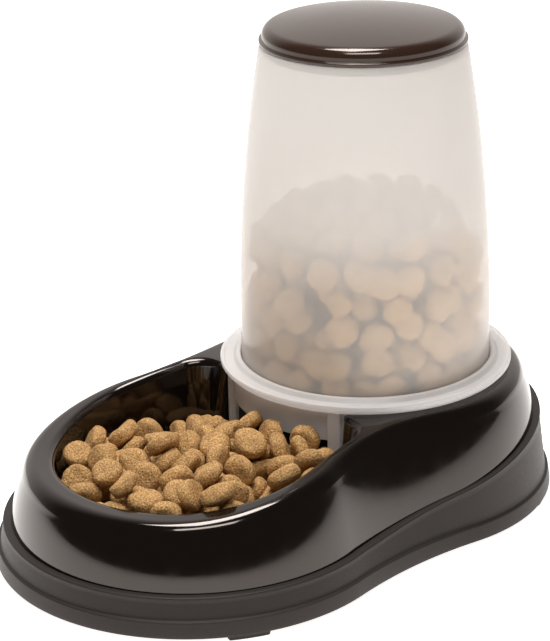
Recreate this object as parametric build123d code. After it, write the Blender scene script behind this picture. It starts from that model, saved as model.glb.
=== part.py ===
from build123d import *
import math
import os

# Gravity pet feeder: a glossy figure-of-eight base with a bowl in front, a soft
# non-slip skirt and pads under it, a translucent feed collar dropped into the well
# behind the bowl, a frosted hopper twist-locked in the collar, and a domed lid.
# Millimetres. +Z up, bowl towards -Y, origin at the middle of the footprint.

# ---- footprint ----
FRONT_RADIUS = 97.0        # skirt's lower edge round the bowl
REAR_RADIUS = 93.0         # skirt's lower edge round the hopper
LOBE_SPACING = 110.0       # bowl centre to hopper axis
WAIST_HALF = 90.0          # half width of the skirt's lower edge at the waist

# ---- heights ----
PAD_DROP = 2.5             # what the pads lift the skirt off the floor
RIM_FRONT_Z = 50.5         # bowl rim at the front
PLATFORM_Z = 66.5          # flat top round the hopper
RIM_RISE_START = 30.0      # how far behind the front edge the rim starts to rise
RIM_RISE_LENGTH = 140.0    # length of the rim's S-shaped rise
SKIRT_FRONT_Z = 21.0       # skirt's upper edge at the front
SKIRT_REAR_Z = 43.0        # skirt's upper edge at the rear
SKIRT_RISE_START = 115.0   # how far behind the front edge the skirt starts to rise
SKIRT_RISE_LENGTH = 185.0

# ---- soft skirt ----
LIP_HEIGHT = 8.0           # projecting lip along the skirt's foot
LIP_DRAFT = 1.0            # how far the lip's face leans in over its height
LIP_LEDGE = 1.5            # ledge between the lip and the band above it
SKIRT_THICKNESS = 3.2
BAND_LEAN_FRONT = 0.22     # lean of the band's face, in mm per mm of height
BAND_LEAN_REAR = 0.12
BAND_LEAN_WAIST = 0.26
FRONT_PAD_ANGLE = -25.0    # pad's middle, in degrees aft of the lobe's side
REAR_PAD_ANGLE = 32.0
PAD_SPAN = 12.0            # length of a pad, in degrees round its lobe
PAD_WIDTH = 6.0
PAD_EDGE = 1.2             # from the skirt's lower edge in to the pad
PAD_SOCKET = 2.0           # how deep a pad sits in the shell's foot

# ---- glossy shell ----
SHELL_EDGE = 1.3           # how far the shell's wall stands outside the skirt's inner face
SHELL_FOOT = 1.0           # shell's lower edge above the skirt's lower edge
WALL_LEAN_FRONT = 0.327
WALL_LEAN_REAR = 0.28
WALL_LEAN_WAIST = 0.345
WALL = 3.2                 # outer wall of the shell
RIM_TOP_WALL = 4.2         # rim and platform, from above to below
CUP_WALL = 2.6             # walls of the bowl and the well
RIB_WALL = 1.8             # stiffening ribs under the shell
RIB_RAISE = 6.0            # ribs stop short of the shell's foot
RIM_OUTER_ROUND = 7.0
RIM_INNER_ROUND = 4.0

# ---- bowl ----
BOWL_RADIUS = 66.5         # bowl's inner outline, level with the front rim
BOWL_CORNER_RADIUS = 13.0
BOWL_CORNER_X = 47.0       # centre of the rounded rear corners
BOWL_REAR_GAP = 58.0       # hopper axis to the bowl's rear wall
BOWL_FLOOR_Z = 13.0
BOWL_LEAN = 0.14
BOWL_FLOOR_ROUND = 8.0

# ---- well, throat and feed ramp ----
WELL_GAP = 1.5             # between the collar's drum and the well's wall
THROAT_HALF = 43.5
THROAT_ROUND = 4.5
RAMP_ANGLE = 20.0
RAMP_GAP = 1.0             # between the drum's lower edge and the ramp

# ---- feed collar ----
DRUM_RADIUS = 66.5         # outside of the drum
DRUM_WALL = 2.0
SHELF_HOLD = 4.8           # how far the shelf reaches in past the hopper's foot
SHELF_THICKNESS = 2.0
FLANGE_WIDTH = 5.9         # from the drum's side out to the flange's edge
FLANGE_HEIGHT = 4.8        # flange's top above the platform
FLANGE_THICKNESS = 2.7
FLANGE_RIM = 1.8           # raised rim round the flange
FLANGE_DISH = 0.8          # dished band inside that rim
LIP_THICKNESS = 2.8        # inward lip that holds the hopper's lugs down
LIP_RISE = 1.2             # ring round the hopper's foot, above the flange's rim
LIP_RING = 2.2
GATE_HALF_ANGLE = 32.0
GATE_EDGE_Z = 50.5         # lower edge of the gate wall, above the flow of food
RIB_SPAN = 5.0             # degrees round the drum, beside the gate
RIB_DEPTH = 2.6

# ---- hopper ----
HOPPER_TOP_RADIUS = 49.6
HOPPER_TOP_Z = 230.0
BARREL_HEIGHT = 24.0       # foot of the hopper, nearly straight
HOPPER_DRAFT = 0.2         # how much the barrel narrows up to that height
HOPPER_WALL = 1.6
LUG_COUNT = 3
LUG_SPAN = 12.0            # degrees
LUG_REACH = 2.4            # lugs stand out of the hopper's foot
LUG_HEIGHT = 2.5
LUG_SLACK = 2.0            # degrees each side of a lug in its notch
TWIST = 20.0               # degrees from locked to free of the lugs

# ---- lid ----
LID_OVERHANG = 0.3         # lid's lip past the hopper's top
LID_HEIGHT = 12.0          # lid's top above the hopper's
LID_WALL = 1.8
LID_SHOULDER = 5.0         # radius of the rounded shoulder
LID_LIP_HEIGHT = 1.6
LID_LIP_PROUD = 1.4        # lip stands out from the dome's side
LID_CROWN = 3.4            # rise of the top from the shoulder to the middle
PLUG_DEPTH = 5.0
PLUG_TOP_GAP = 1.0         # from the plug's top up to the lid's shoulder

# ---- food ----
FOOD_GAP = 0.6             # between the food and what it lies against
BOWL_FOOD_EDGE_Z = 41.0
BOWL_FOOD_CROWN_Z = 46.5
WELL_FOOD_Z = 56.5
HOPPER_FOOD_EDGE_Z = 128.0
HOPPER_FOOD_TOP_Z = 163.0
HEAP_FULLNESS = 0.6        # how far out the heap in the hopper stays high

# ---- clearances between pieces that come apart ----
SEAT_GAP = 0.3             # faces that rest on each other
SLIDE_GAP = 0.6            # walls that pass each other

CLEAR = 20.0               # how far cutting shapes reach past what they cut
OVERCUT = 1.0              # the same for a cut through a thin wall

# ---- worked out from the sizes above ----
LENGTH = FRONT_RADIUS + LOBE_SPACING + REAR_RADIUS
FRONT_Y = FRONT_RADIUS - LENGTH / 2
AXIS_Y = LENGTH / 2 - REAR_RADIUS
FRONT_EDGE_Y = -LENGTH / 2
LIP_TOP_Z = PAD_DROP + LIP_HEIGHT
SHELL_FOOT_Z = PAD_DROP + SHELL_FOOT
ABOVE = PLATFORM_Z + CLEAR             # a height clear of the whole base
FAR = LENGTH                           # a reach clear of the whole footprint
BOWL_REAR_Y = AXIS_Y - BOWL_REAR_GAP
WELL_RADIUS = DRUM_RADIUS + WELL_GAP
DRUM_BORE = DRUM_RADIUS - DRUM_WALL
SEAT_Z = PLATFORM_Z + SEAT_GAP         # underside of the collar's flange
FLANGE_RADIUS = DRUM_RADIUS + FLANGE_WIDTH
FLANGE_TOP_Z = PLATFORM_Z + FLANGE_HEIGHT
LUG_RADIUS = DRUM_BORE - SEAT_GAP
HOPPER_FOOT_RADIUS = LUG_RADIUS - LUG_REACH
SHELF_RADIUS = HOPPER_FOOT_RADIUS - SHELF_HOLD
LIP_RADIUS = HOPPER_FOOT_RADIUS + SLIDE_GAP
LIP_UNDER_Z = FLANGE_TOP_Z + SEAT_GAP - LIP_THICKNESS
LUG_TOP_Z = LIP_UNDER_Z - SEAT_GAP
HOPPER_FOOT_Z = LUG_TOP_Z - LUG_HEIGHT
HOPPER_BARREL_Z = HOPPER_FOOT_Z + BARREL_HEIGHT
SHELF_TOP_Z = HOPPER_FOOT_Z - SEAT_GAP
NOTCH_SPAN = LUG_SPAN + 2 * LUG_SLACK
LID_SEAT_Z = HOPPER_TOP_Z + SEAT_GAP
LID_TOP_Z = HOPPER_TOP_Z + LID_HEIGHT
LID_RADIUS = HOPPER_TOP_RADIUS + LID_OVERHANG


def tangent_outline(front, rear, waist):
    """Closed outline of two circles joined by hollow waists: front and rear are the
    circles' radii, waist the half width at the narrowest place."""
    along = (front**2 - rear**2 + LOBE_SPACING**2) / (2 * LOBE_SPACING)
    slope = (front - rear) / LOBE_SPACING
    half = front - waist - along * slope
    rest = waist**2 + along**2 - front**2
    hollow = rest / (half + math.sqrt(half**2 - slope**2 * rest))
    centre = (waist + hollow, FRONT_Y + along + slope * hollow)

    def touch(y, radius):
        reach = math.hypot(centre[0], centre[1] - y)
        return (radius * centre[0] / reach, y + radius * (centre[1] - y) / reach)

    front_point = touch(FRONT_Y, front)
    rear_point = touch(AXIS_Y, rear)
    mirror = lambda point: (-point[0], point[1])
    right = ThreePointArc(front_point, (waist, centre[1]), rear_point)
    back = ThreePointArc(rear_point, (0, AXIS_Y + rear), mirror(rear_point))
    left = ThreePointArc(mirror(rear_point), (-waist, centre[1]), mirror(front_point))
    nose = ThreePointArc(mirror(front_point), (0, FRONT_Y - front), front_point)
    return make_face([right, back, left, nose])


def lobed_body(low, high, z_low, z_high):
    """Solid between two lobed outlines, each given as (front, rear, waist)."""
    bottom = Pos(0, 0, z_low) * tangent_outline(*low)
    top = Pos(0, 0, z_high) * tangent_outline(*high)
    return loft([bottom, top], ruled=True)


def inset(sizes, amount):
    return tuple(size - amount for size in sizes)


def lean(sizes, leans, height):
    return tuple(size - rate * height for size, rate in zip(sizes, leans))


def under_rise(front_z, rear_z, start, length):
    """Everything under a top that is level at the front, rises in an S and is level behind."""
    y0 = FRONT_EDGE_Y + start
    y1 = y0 + length
    third = length / 3
    edges = [
        Line((-FAR, -FAR), (-FAR, front_z)),
        Line((-FAR, front_z), (y0, front_z)),
        Bezier((y0, front_z), (y0 + third, front_z), (y1 - third, rear_z), (y1, rear_z)),
        Line((y1, rear_z), (FAR, rear_z)),
        Line((FAR, rear_z), (FAR, -FAR)),
        Line((FAR, -FAR), (-FAR, -FAR)),
    ]
    return extrude(Plane.YZ.offset(-FAR) * make_face(edges), FAR * 2)


def above_ramp(gap):
    """Everything above the feed ramp, which climbs from the bowl's floor to the back."""
    angle = math.radians(RAMP_ANGLE)
    base = BOWL_FLOOR_Z + gap / math.cos(angle)
    foot = (BOWL_REAR_Y, base)
    top = (BOWL_REAR_Y + FAR, base + FAR * math.tan(angle))
    points = [(BOWL_REAR_Y - FAR, base), foot, top, (top[0], FAR), (BOWL_REAR_Y - FAR, FAR)]
    return extrude(Plane.YZ.offset(-FAR) * make_face(Polyline(*points, close=True)), FAR * 2)


def bowl_outline(grow):
    """Inside outline of the bowl: a round front drawn tight to two rounded rear corners."""
    big = BOWL_RADIUS + grow
    small = BOWL_CORNER_RADIUS + grow
    corner = (BOWL_CORNER_X, BOWL_REAR_Y - BOWL_CORNER_RADIUS)
    reach = math.hypot(corner[0], corner[1] - FRONT_Y)
    turn = math.atan2(corner[1] - FRONT_Y, corner[0]) - math.acos((big - small) / reach)
    out = (math.cos(turn), math.sin(turn))
    half = math.radians(45) + turn / 2
    front_point = (big * out[0], FRONT_Y + big * out[1])
    side_point = (corner[0] + small * out[0], corner[1] + small * out[1])
    round_point = (corner[0] + small * math.cos(half), corner[1] + small * math.sin(half))
    rear_point = (corner[0], corner[1] + small)
    flip = lambda point: (-point[0], point[1])
    return make_face([
        ThreePointArc(flip(front_point), (0, FRONT_Y - big), front_point),
        Line(front_point, side_point),
        ThreePointArc(side_point, round_point, rear_point),
        Line(rear_point, flip(rear_point)),
        ThreePointArc(flip(rear_point), flip(round_point), flip(side_point)),
        Line(flip(side_point), flip(front_point)),
    ])


def bowl_body(grow, floor_z, top_z, floor_round):
    low = grow - BOWL_LEAN * (RIM_FRONT_Z - floor_z)
    high = grow + BOWL_LEAN * (top_z - RIM_FRONT_Z)
    floor = Pos(0, 0, floor_z) * bowl_outline(low)
    body = loft([floor, Pos(0, 0, top_z) * bowl_outline(high)], ruled=True)
    return fillet(body.edges().group_by(Axis.Z)[0], floor_round)


def upright(radius, z_low, z_high):
    """Round column on the hopper's axis."""
    return Pos(0, AXIS_Y, z_low) * extrude(Circle(radius), z_high - z_low)


def block(half_width, y_low, y_high, z_low, z_high):
    size = (2 * half_width, y_high - y_low, z_high - z_low)
    return Pos(0, (y_low + y_high) / 2, (z_low + z_high) / 2) * Box(*size)


def sector(inner, outer, middle, span, z_low, z_high, y):
    """Part of a ring: middle and span are in degrees, 0 towards +X."""
    low = math.radians(middle - span / 2)
    high = math.radians(middle + span / 2)
    mid = math.radians(middle)
    at = lambda radius, angle: (radius * math.cos(angle), radius * math.sin(angle))
    face = make_face([
        ThreePointArc(at(outer, low), at(outer, mid), at(outer, high)),
        Line(at(outer, high), at(inner, high)),
        ThreePointArc(at(inner, high), at(inner, mid), at(inner, low)),
        Line(at(inner, low), at(outer, low)),
    ])
    return Pos(0, y, z_low) * extrude(face, z_high - z_low)


def turned(points):
    """Solid turned about the hopper's axis from (radius, height) points."""
    profile = make_face(Polyline(*points, close=True))
    return Pos(0, AXIS_Y, 0) * revolve(Plane.XZ * profile, Axis.Z)


# ---- outlines of the skirt and the shell ----
FOOT = (FRONT_RADIUS, REAR_RADIUS, WAIST_HALF)
BAND_LEANS = (BAND_LEAN_FRONT, BAND_LEAN_REAR, BAND_LEAN_WAIST)
WALL_LEANS = (WALL_LEAN_FRONT, WALL_LEAN_REAR, WALL_LEAN_WAIST)
BAND_FOOT = inset(FOOT, LIP_DRAFT + LIP_LEDGE)
BAND_TOP_Z = SKIRT_REAR_Z + CLEAR


def band_outline(z, inward):
    return inset(lean(BAND_FOOT, BAND_LEANS, z - LIP_TOP_Z), inward)


def inside_skirt():
    low = band_outline(PAD_DROP, SKIRT_THICKNESS)
    return lobed_body(low, band_outline(BAND_TOP_Z, SKIRT_THICKNESS), PAD_DROP, BAND_TOP_Z)


def under_skirt_top():
    return under_rise(SKIRT_FRONT_Z, SKIRT_REAR_Z, SKIRT_RISE_START, SKIRT_RISE_LENGTH)


def skirt_zone():
    """Room that the skirt takes up round the shell's foot."""
    lip = lobed_body(FOOT, inset(FOOT, LIP_DRAFT), PAD_DROP, LIP_TOP_Z)
    band = lobed_body(BAND_FOOT, band_outline(BAND_TOP_Z, 0), LIP_TOP_Z, BAND_TOP_Z)
    return (lip + band - inside_skirt()) & under_skirt_top()


def shell_outlines():
    """Outlines of the shell's wall at its foot and well above its top."""
    heights = (SKIRT_FRONT_Z, SKIRT_REAR_Z, (SKIRT_FRONT_Z + SKIRT_REAR_Z) / 2)
    foot = []
    for size, band, wall, height in zip(BAND_FOOT, BAND_LEANS, WALL_LEANS, heights):
        at_skirt = size - band * (height - LIP_TOP_Z) - SKIRT_THICKNESS + SHELL_EDGE
        foot.append(at_skirt + wall * (height - SHELL_FOOT_Z))
    return tuple(foot), lean(foot, WALL_LEANS, ABOVE - SHELL_FOOT_Z)


def throat_body(grow):
    """Passage from the bowl to the well, flared round where it opens into the bowl."""
    half = THROAT_HALF + grow
    flare = THROAT_ROUND - grow
    bend = flare * (1 - math.sqrt(0.5))
    y0 = BOWL_REAR_Y + grow
    flip = lambda point: (-point[0], point[1])
    start = (half, y0 + flare)
    middle = (half + bend, y0 + bend)
    end = (half + flare, y0)
    inner_y = FRONT_Y / 2
    edges = [
        Line((half, AXIS_Y), start),
        ThreePointArc(start, middle, end),
        Line(end, (end[0], inner_y)),
        Line((end[0], inner_y), (-end[0], inner_y)),
        Line((-end[0], inner_y), flip(end)),
        ThreePointArc(flip(end), flip(middle), flip(start)),
        Line(flip(start), (-half, AXIS_Y)),
        Line((-half, AXIS_Y), (half, AXIS_Y)),
    ]
    return extrude(make_face(edges), ABOVE)


def base_cavity(grow):
    """Inside of the bowl, the throat and the well, grown by a wall where asked."""
    bowl = bowl_body(grow, BOWL_FLOOR_Z - grow, ABOVE, BOWL_FLOOR_ROUND)
    well = upright(WELL_RADIUS + grow, 0, ABOVE)
    return bowl + ((well + throat_body(grow)) & above_ramp(-grow))


def pad_zone(side, lobe_radius, lobe_y, turn):
    """Room for one pad under the foot of a lobe: side is +1 or -1, turn is in degrees."""
    middle = turn if side > 0 else 180 - turn
    outer = lobe_radius - PAD_EDGE
    return sector(outer - PAD_WIDTH, outer, middle, PAD_SPAN, 0, PAD_DROP + PAD_SOCKET, lobe_y)


def pad_zones():
    return {
        "front_right": pad_zone(1, FRONT_RADIUS, FRONT_Y, FRONT_PAD_ANGLE),
        "front_left": pad_zone(-1, FRONT_RADIUS, FRONT_Y, FRONT_PAD_ANGLE),
        "rear_right": pad_zone(1, REAR_RADIUS, AXIS_Y, REAR_PAD_ANGLE),
        "rear_left": pad_zone(-1, REAR_RADIUS, AXIS_Y, REAR_PAD_ANGLE),
    }


def shell_hollow():
    """Open underside of the shell, between its outer wall and the bowl and well."""
    low, high = shell_outlines()
    inside = lobed_body(inset(low, WALL), inset(high, WALL), SHELL_FOOT_Z, ABOVE)
    band_low = band_outline(PAD_DROP, SKIRT_THICKNESS + WALL)
    band_high = band_outline(BAND_TOP_Z, SKIRT_THICKNESS + WALL)
    foot = lobed_body(band_low, band_high, PAD_DROP, BAND_TOP_Z) & under_skirt_top()
    inside = (inside & foot) + (inside - under_skirt_top())
    front_z = RIM_FRONT_Z - RIM_TOP_WALL
    rear_z = PLATFORM_Z - RIM_TOP_WALL
    top = under_rise(front_z, rear_z, RIM_RISE_START, RIM_RISE_LENGTH)
    void = (inside & top) - base_cavity(CUP_WALL)
    rib_z = SHELL_FOOT_Z + RIB_RAISE
    half = RIB_WALL / 2
    ribs = [block(FAR, y - half, y + half, rib_z, ABOVE) for y in (FRONT_Y, AXIS_Y)]
    spine = block(half, FRONT_EDGE_Y, -FRONT_EDGE_Y, rib_z, ABOVE)
    return void - ribs - spine


def make_base_shell():
    low, high = shell_outlines()
    body = lobed_body(low, high, SHELL_FOOT_Z, ABOVE)
    body = body & under_rise(RIM_FRONT_Z, PLATFORM_Z, RIM_RISE_START, RIM_RISE_LENGTH)
    rim = [edge for edge in body.edges() if edge.bounding_box().min.Z > SKIRT_REAR_Z]
    body = fillet(rim, RIM_OUTER_ROUND)
    bowl = bowl_body(0, BOWL_FLOOR_Z, ABOVE, BOWL_FLOOR_ROUND)
    with_bowl = body - bowl
    cut = new_edges(body, bowl, combined=with_bowl)
    mouth = [edge for edge in cut if edge.bounding_box().min.Z > RIM_FRONT_Z - SEAT_GAP]
    body = fillet(mouth, RIM_INNER_ROUND)
    outside_skirt = under_skirt_top() - inside_skirt()
    return body - base_cavity(0) - outside_skirt - shell_hollow()


def make_feed_collar():
    outer_rise = FLANGE_TOP_Z - FLANGE_THICKNESS
    ring = turned([
        (SHELF_RADIUS, SHELF_TOP_Z - SHELF_THICKNESS),
        (SHELF_RADIUS, SHELF_TOP_Z),
        (DRUM_BORE, SHELF_TOP_Z),
        (DRUM_BORE, LIP_UNDER_Z),
        (LIP_RADIUS, LIP_UNDER_Z),
        (LIP_RADIUS, FLANGE_TOP_Z + LIP_RISE),
        (LIP_RADIUS + LIP_RING, FLANGE_TOP_Z + LIP_RISE),
        (FLANGE_RADIUS - FLANGE_RIM - FLANGE_DISH, FLANGE_TOP_Z - FLANGE_DISH),
        (FLANGE_RADIUS - FLANGE_RIM, FLANGE_TOP_Z),
        (FLANGE_RADIUS, FLANGE_TOP_Z),
        (FLANGE_RADIUS, outer_rise),
        (FLANGE_RADIUS - (outer_rise - SEAT_Z), SEAT_Z),
        (DRUM_RADIUS, SEAT_Z),
        (DRUM_RADIUS, BOWL_FLOOR_Z),
        (DRUM_BORE, BOWL_FLOOR_Z),
        (DRUM_BORE, SHELF_TOP_Z - SHELF_THICKNESS),
    ])
    for side in (-1, 1):
        turn = -90 + side * (GATE_HALF_ANGLE + RIB_SPAN / 2)
        inner = DRUM_RADIUS - DRUM_WALL / 2
        outer = DRUM_RADIUS + RIB_DEPTH
        ring += sector(inner, outer, turn, RIB_SPAN, BOWL_FLOOR_Z, SEAT_Z, AXIS_Y)
    gate = 2 * GATE_HALF_ANGLE
    ring -= sector(DRUM_BORE - OVERCUT, DRUM_RADIUS + OVERCUT, -90, gate, 0, GATE_EDGE_Z, AXIS_Y)
    notch_z = LIP_UNDER_Z - SEAT_GAP
    for i in range(LUG_COUNT):
        turn = i * 360 / LUG_COUNT + TWIST
        ring -= sector(LIP_RADIUS - OVERCUT, DRUM_BORE, turn, NOTCH_SPAN, notch_z, ABOVE, AXIS_Y)
    return ring & above_ramp(RAMP_GAP)


BARREL_RADIUS = HOPPER_FOOT_RADIUS - HOPPER_DRAFT
TAPER = BARREL_RADIUS - HOPPER_TOP_RADIUS
TAPER_HEIGHT = HOPPER_TOP_Z - HOPPER_BARREL_Z
SWEEP_RADIUS = (TAPER**2 + TAPER_HEIGHT**2) / (2 * TAPER)


def hopper_radius(z, inward):
    """Radius of the hopper's side at a height, inward from its outer face."""
    if z <= HOPPER_BARREL_Z:
        return BARREL_RADIUS - inward
    return BARREL_RADIUS - SWEEP_RADIUS + math.sqrt((SWEEP_RADIUS - inward)**2 - (z - HOPPER_BARREL_Z)**2)


def hopper_side(z_low, z_high, inward):
    """Side of the hopper from a height below the barrel's end to one above it."""
    share = (HOPPER_BARREL_Z - z_low) / (HOPPER_BARREL_Z - HOPPER_FOOT_Z)
    foot = BARREL_RADIUS - inward + HOPPER_DRAFT * share
    waist = (BARREL_RADIUS - inward, HOPPER_BARREL_Z)
    z_mid = (HOPPER_BARREL_Z + z_high) / 2
    middle = (hopper_radius(z_mid, inward), z_mid)
    top = (hopper_radius(z_high, inward), z_high)
    return [Line((foot, z_low), waist), ThreePointArc(waist, middle, top)]


def make_hopper():
    outside = hopper_side(HOPPER_FOOT_Z, HOPPER_TOP_Z, 0)
    inside = hopper_side(HOPPER_FOOT_Z, HOPPER_TOP_Z, HOPPER_WALL)
    ends = [Line(outside[0] @ 0, inside[0] @ 0), Line(outside[1] @ 1, inside[1] @ 1)]
    tube = Pos(0, AXIS_Y, 0) * revolve(Plane.XZ * make_face(outside + inside + ends), Axis.Z)
    for i in range(LUG_COUNT):
        turn = i * 360 / LUG_COUNT
        inner = HOPPER_FOOT_RADIUS - HOPPER_WALL / 2
        tube += sector(inner, LUG_RADIUS, turn, LUG_SPAN, HOPPER_FOOT_Z, LUG_TOP_Z, AXIS_Y)
    return tube


def make_lid():
    side = LID_RADIUS - LID_LIP_PROUD
    lip_top = LID_SEAT_Z + LID_LIP_HEIGHT
    shoulder_z = LID_TOP_Z - LID_CROWN - LID_SHOULDER

    centre = (side - LID_SHOULDER, shoulder_z)
    drop = LID_TOP_Z - shoulder_z
    crown_radius = (centre[0]**2 + drop**2 - LID_SHOULDER**2) / (2 * LID_CROWN)
    slope = math.atan2(shoulder_z - LID_TOP_Z + crown_radius, centre[0])

    def dome(inward):
        """Dome's rounded shoulder and the round crown that it runs into."""
        small = LID_SHOULDER - inward
        big = crown_radius - inward
        middle = (0, LID_TOP_Z - crown_radius)
        at = lambda c, r, angle: (c[0] + r * math.cos(angle), c[1] + r * math.sin(angle))
        steep = (slope + math.radians(90)) / 2
        top = (0, LID_TOP_Z - inward)
        return [
            ThreePointArc(at(centre, small, 0), at(centre, small, slope / 2), at(centre, small, slope)),
            ThreePointArc(at(middle, big, slope), at(middle, big, steep), top),
        ]

    out = dome(0)
    inner = dome(LID_WALL)
    plug = hopper_radius(HOPPER_TOP_Z, HOPPER_WALL) - SLIDE_GAP
    inner_side = (inner[0] @ 0).X
    plug_foot_z = LID_SEAT_Z - PLUG_DEPTH
    foot = [
        (LID_RADIUS, LID_SEAT_Z),
        (plug, LID_SEAT_Z),
        (plug, plug_foot_z),
        (plug - LID_WALL, plug_foot_z),
        (plug - LID_WALL, shoulder_z - PLUG_TOP_GAP),
        (inner_side, shoulder_z),
    ]
    lip = [(side, shoulder_z), (side, lip_top), (LID_RADIUS, lip_top), (LID_RADIUS, LID_SEAT_Z)]
    edges = out + inner + [Line(out[1] @ 1, inner[1] @ 1), *Polyline(*foot).edges(), *Polyline(*lip).edges()]
    return Pos(0, AXIS_Y, 0) * revolve(Plane.XZ * make_face(edges), Axis.Z)


def make_bowl_food():
    """Food heaped in the bowl, running back under the gate into the foot of the well."""
    rise = BOWL_FOOD_CROWN_Z - BOWL_FOOD_EDGE_Z
    dome = (BOWL_RADIUS**2 + rise**2) / (2 * rise)
    heap = bowl_body(-FOOD_GAP, BOWL_FLOOR_Z + FOOD_GAP, ABOVE, BOWL_FLOOR_ROUND)
    heap = heap & (Pos(0, FRONT_Y, BOWL_FOOD_CROWN_Z - dome) * Sphere(dome))
    gate_half = DRUM_BORE * math.sin(math.radians(GATE_HALF_ANGLE)) - FOOD_GAP
    flow = block(gate_half, FRONT_Y, AXIS_Y, 0, BOWL_FOOD_EDGE_Z)
    column = upright(SHELF_RADIUS - FOOD_GAP, 0, WELL_FOOD_Z)
    behind = (flow & block(FAR, BOWL_REAR_Y - BOWL_CORNER_RADIUS, AXIS_Y, 0, ABOVE)) + column
    return heap + (behind & above_ramp(FOOD_GAP))


def make_hopper_food():
    """Food standing in the hopper, from the collar's opening up to a rounded heap."""
    inward = HOPPER_WALL + FOOD_GAP
    bottom = WELL_FOOD_Z + FOOD_GAP
    step = HOPPER_FOOT_Z + FOOD_GAP
    neck = SHELF_RADIUS - FOOD_GAP
    side = hopper_side(step, HOPPER_FOOD_EDGE_Z, inward)
    edge = side[1] @ 1
    heap = Bezier((edge.X, edge.Y), (edge.X * HEAP_FULLNESS, HOPPER_FOOD_TOP_Z), (0, HOPPER_FOOD_TOP_Z))
    foot = side[0] @ 0
    below = Polyline((0, HOPPER_FOOD_TOP_Z), (0, bottom), (neck, bottom), (neck, step), (foot.X, step))
    face = make_face([*side, heap, *below.edges()])
    return Pos(0, AXIS_Y, 0) * revolve(Plane.XZ * face, Axis.Z)


def save(name, shape):
    shape.label = name
    export_step(shape, f"parts/{name}.step")


os.makedirs("parts", exist_ok=True)
pads = pad_zones()
skirt = skirt_zone()
shell = make_base_shell()
for name, pad in pads.items():
    save(f"foot_pad_{name}", pad - shell)
    skirt -= pad
save("base_shell", shell)
save("base_skirt", skirt)
save("feed_collar", make_feed_collar())
save("hopper", make_hopper())
save("lid", make_lid())
save("bowl_food", make_bowl_food())
save("hopper_food", make_hopper_food())
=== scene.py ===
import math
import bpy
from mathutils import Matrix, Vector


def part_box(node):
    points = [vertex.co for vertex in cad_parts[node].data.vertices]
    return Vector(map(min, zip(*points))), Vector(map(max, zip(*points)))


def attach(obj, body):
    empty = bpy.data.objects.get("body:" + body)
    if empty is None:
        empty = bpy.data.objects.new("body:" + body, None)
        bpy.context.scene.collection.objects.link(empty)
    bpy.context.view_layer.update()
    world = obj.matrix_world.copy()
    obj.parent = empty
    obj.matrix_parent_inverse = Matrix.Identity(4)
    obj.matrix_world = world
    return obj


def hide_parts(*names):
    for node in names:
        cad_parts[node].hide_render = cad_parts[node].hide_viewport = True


bl_info = {
    "name": "Gravity pet feeder",
    "version": (1, 0, 0),
    "blender": (4, 5, 0),
    "location": "3D View > Sidebar > Feeder",
    "description": "Finished surfaces of a gravity pet feeder, built round its frame",
    "category": "Object",
}

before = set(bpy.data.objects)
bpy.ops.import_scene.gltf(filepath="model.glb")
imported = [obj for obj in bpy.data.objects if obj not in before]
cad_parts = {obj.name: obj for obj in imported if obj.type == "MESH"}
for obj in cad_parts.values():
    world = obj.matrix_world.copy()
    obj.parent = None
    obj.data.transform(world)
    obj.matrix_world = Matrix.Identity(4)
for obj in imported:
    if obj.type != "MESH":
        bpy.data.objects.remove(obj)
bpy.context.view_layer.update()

import bmesh
import bpy
import numpy as np
from mathutils import Matrix, Vector

MM = 0.001
SEAT_GAP = 0.3             # slack under the flange, the hopper and the lid
WHITE = (1.0, 1.0, 1.0, 1.0)
WARM_TINT = (1.0, 0.90, 0.85, 1.0)   # a gloss that warms what it mirrors
SIM_SCALE = 0.1            # the pile is settled in centimetres, kind to the solver

# Plan of the base, in millimetres: two round lobes joined by hollow waists. The middle
# of each lobe comes from the frame's boxes.
skirt_low, skirt_high = (np.array(v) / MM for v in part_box("base_skirt"))
shell_low, shell_high = (np.array(v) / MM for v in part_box("base_shell"))
collar_high = np.array(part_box("feed_collar")[1]) / MM
hopper_low, hopper_high = (np.array(v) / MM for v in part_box("hopper"))
lid_low, lid_high = (np.array(v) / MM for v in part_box("lid"))
food_low = np.array(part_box("hopper_food")[0]) / MM

FRONT_RADIUS = skirt_high[0]
FRONT_Y = skirt_low[1] + FRONT_RADIUS
AXIS_Y = (lid_low[1] + lid_high[1]) / 2
REAR_RADIUS = skirt_high[1] - AXIS_Y
WAIST_HALF = 90.0
SKIRT_FOOT_Z = skirt_low[2]
SKIRT_REAR_Z = skirt_high[2]
SKIRT_FRONT_Z = 21.0
SKIRT_RISE = (115.0, 185.0)        # how far behind the front edge it starts, and its length
SHELL_FOOT_Z = shell_low[2]
PLATFORM_Z = shell_high[2]
RIM_FRONT_Z = 50.5
RIM_RISE = (30.0, 140.0)
LIP_TOP_Z = SKIRT_FOOT_Z + 8.0
LIP_STEP = 2.5                     # lip's draft and the ledge over it
SKIRT_THICKNESS = 3.2
PAD_EDGE = 1.2                     # from the skirt's lower edge in to the pad
PAD_WIDTH = 6.0
PAD_SPAN = 12.0                    # degrees round the lobe
BAND_LEANS = np.array([0.22, 0.12, 0.26])      # front, rear, waist
WALL_LEANS = np.array([0.29, 0.26, 0.31])
WALL_AT_RIM = np.array([80.5, 78.3, 71.4])     # outline where the wall meets the rim's height
WALL_AT_Z = np.array([RIM_FRONT_Z, 62.0, 56.0])
WALL_SWELL = 0.8                   # wall bows out by this at its middle
WALL = 3.2
CUP_WALL = 2.6
TOP_WALL = 4.2
BOWL_RADIUS = 66.5
CORNER_RADIUS = 13.0
CORNER_X = 47.0
BOWL_REAR_Y = AXIS_Y - 58.0
THROAT_HALF = 43.5
THROAT_ROUND = 4.5
BOWL_FLOOR_Z = 13.0
BOWL_LEAN = 0.14
RAMP = math.tan(math.radians(20.0))
DRUM_RADIUS = 66.5
DRUM_WALL = 2.0
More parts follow.
